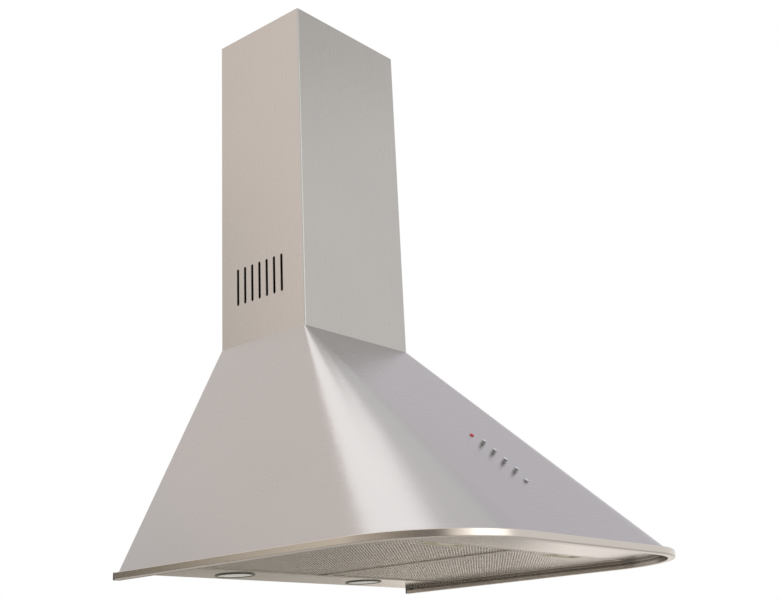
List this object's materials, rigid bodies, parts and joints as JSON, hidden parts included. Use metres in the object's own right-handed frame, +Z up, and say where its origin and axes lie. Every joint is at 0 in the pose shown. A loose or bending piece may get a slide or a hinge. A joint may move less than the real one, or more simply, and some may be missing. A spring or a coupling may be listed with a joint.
{
  "type": "chimney range hood",
  "caption": "Wall-mounted chimney range hood with a D-shaped pyramid canopy, push buttons, lamps, hinged grease filters and a telescopic chimney.",
  "frame": {"origin": "in the wall plane, at the centre of the four wall holes on the hood's centre line", "axes": "+X to the right when facing the hood, +Y into the wall, +Z up"},
  "size_m": [0.6, 0.548, 0.8555],
  "materials": {
    "brushed_steel": "fine vertical brushed stainless steel, satin",
    "rim_steel": "bright brushed stainless steel",
    "cap_plastic": "dark matt",
    "panel_steel": "satin stainless steel, fairly glossy",
    "zinc_steel": "zinc plated",
    "lamp_trim": "polished",
    "frosted_glass": "frosted",
    "lamp_reflector": "bright anodised",
    "ceramic": "glazed ceramic",
    "bulb_glass": "clear",
    "black_plastic": "matt moulded",
    "grey_plastic": "matt moulded",
    "pilot_red": "clear red",
    "button_chrome": "polished",
    "motor_metal": "painted",
    "capacitor_can": "drawn can",
    "connector_plastic": "matt",
    "filter_aluminium": "satin",
    "filter_wool": "knitted",
    "grip_plastic": "matt"
  },
  "bodies": {
    "hood": {"canopy_shell": "brushed_steel", "canopy_back_panel": "zinc_steel", "rim_rail": "rim_steel", "rim_end_caps": "cap_plastic", "base_panel": "panel_steel", "lamp_panel": "panel_steel", "lamp_ring_left": "lamp_trim", "lamp_lens_left": "frosted_glass", "lamp_can_left": "lamp_reflector", "lamp_holder_left": "ceramic", "lamp_bulb_left": "bulb_glass", "lamp_ring_right": "lamp_trim", "lamp_lens_right": "frosted_glass", "lamp_can_right": "lamp_reflector", "lamp_holder_right": "ceramic", "lamp_bulb_right": "bulb_glass", "switch_block": "black_plastic", "pilot_lens": "pilot_red", "blower_housing_left": "grey_plastic", "blower_housing_right": "grey_plastic", "motor_body": "motor_metal", "motor_mount": "zinc_steel", "run_capacitor": "capacitor_can", "blower_screws": "zinc_steel", "outlet_collar": "black_plastic", "flap_axle": "zinc_steel", "chimney_cover": "brushed_steel", "lower_wall_bracket": "zinc_steel", "terminal_box": "black_plastic", "terminal_lid": "black_plastic", "terminal_block": "connector_plastic", "lamp_driver": "connector_plastic", "cable_gland": "black_plastic"},
    "chimney_extension": {"chimney_extension": "brushed_steel", "upper_wall_bracket": "zinc_steel"},
    "impeller": {"impeller": "grey_plastic", "impeller_disc": "grey_plastic", "motor_shaft": "zinc_steel"},
    "flap_rear": {"flap_rear": "black_plastic"},
    "flap_front": {"flap_front": "black_plastic"},
    "filter_left": {"filter_frame_left": "filter_aluminium", "filter_mesh_left": "filter_aluminium", "filter_pack_left": "filter_wool", "filter_grip_left": "grip_plastic"},
    "latch_left": {"filter_latch_left": "grip_plastic"},
    "filter_right": {"filter_frame_right": "filter_aluminium", "filter_mesh_right": "filter_aluminium", "filter_pack_right": "filter_wool", "filter_grip_right": "grip_plastic"},
    "latch_right": {"filter_latch_right": "grip_plastic"},
    "button_1": {"button_1": "button_chrome"},
    "button_2": {"button_2": "button_chrome"},
    "button_3": {"button_3": "button_chrome"},
    "button_4": {"button_4": "button_chrome"},
    "button_5": {"button_5": "button_chrome"}
  },
  "joints": [
    {"name": "extension_slide", "type": "slide", "parent": "hood", "child": "chimney_extension", "axis": [0, 0, 1], "range_m": [0, 0.3]},
    {"name": "impeller_spin", "type": "hinge", "parent": "hood", "child": "impeller", "pos_m": [0, -0.13875, -0.03], "axis": [1, 0, 0], "continuous": true},
    {"name": "flap_rear_swing", "type": "hinge", "parent": "hood", "child": "flap_rear", "pos_m": [0, -0.08675, 0.1335], "axis": [1, 0, 0], "range_deg": [0, 75]},
    {"name": "flap_front_swing", "type": "hinge", "parent": "hood", "child": "flap_front", "pos_m": [0, -0.08675, 0.1335], "axis": [-1, 0, 0], "range_deg": [0, 75]},
    {"name": "filter_left_swing", "type": "hinge", "parent": "hood", "child": "filter_left", "pos_m": [-0.13025, -0.0886, -0.221], "axis": [1, 0, 0], "range_deg": [0, 85]},
    {"name": "latch_left_slide", "type": "slide", "parent": "filter_left", "child": "latch_left", "axis": [0, 1, 0], "range_m": [0, 0.0065], "stiffness_N_per_m": 300, "springref_m": -0.004},
    {"name": "filter_right_swing", "type": "hinge", "parent": "hood", "child": "filter_right", "pos_m": [0.13025, -0.0886, -0.221], "axis": [1, 0, 0], "range_deg": [0, 85]},
    {"name": "latch_right_slide", "type": "slide", "parent": "filter_right", "child": "latch_right", "axis": [0, 1, 0], "range_m": [0, 0.0065], "stiffness_N_per_m": 300, "springref_m": -0.004},
    {"name": "button_1_push", "type": "slide", "parent": "hood", "child": "button_1", "axis": [0, 0.6735, -0.7392], "range_m": [0, 0.0035], "stiffness_N_per_m": 400, "springref_m": -0.002},
    {"name": "button_2_push", "type": "slide", "parent": "hood", "child": "button_2", "axis": [0, 0.6735, -0.7392], "range_m": [0, 0.0035], "stiffness_N_per_m": 400, "springref_m": -0.002},
    {"name": "button_3_push", "type": "slide", "parent": "hood", "child": "button_3", "axis": [0, 0.6735, -0.7392], "range_m": [0, 0.0035], "stiffness_N_per_m": 400, "springref_m": -0.002},
    {"name": "button_4_push", "type": "slide", "parent": "hood", "child": "button_4", "axis": [0, 0.6735, -0.7392], "range_m": [0, 0.0035], "stiffness_N_per_m": 400, "springref_m": -0.002},
    {"name": "button_5_push", "type": "slide", "parent": "hood", "child": "button_5", "axis": [0, 0.6735, -0.7392], "range_m": [-0.0035, 0]}
  ]
}
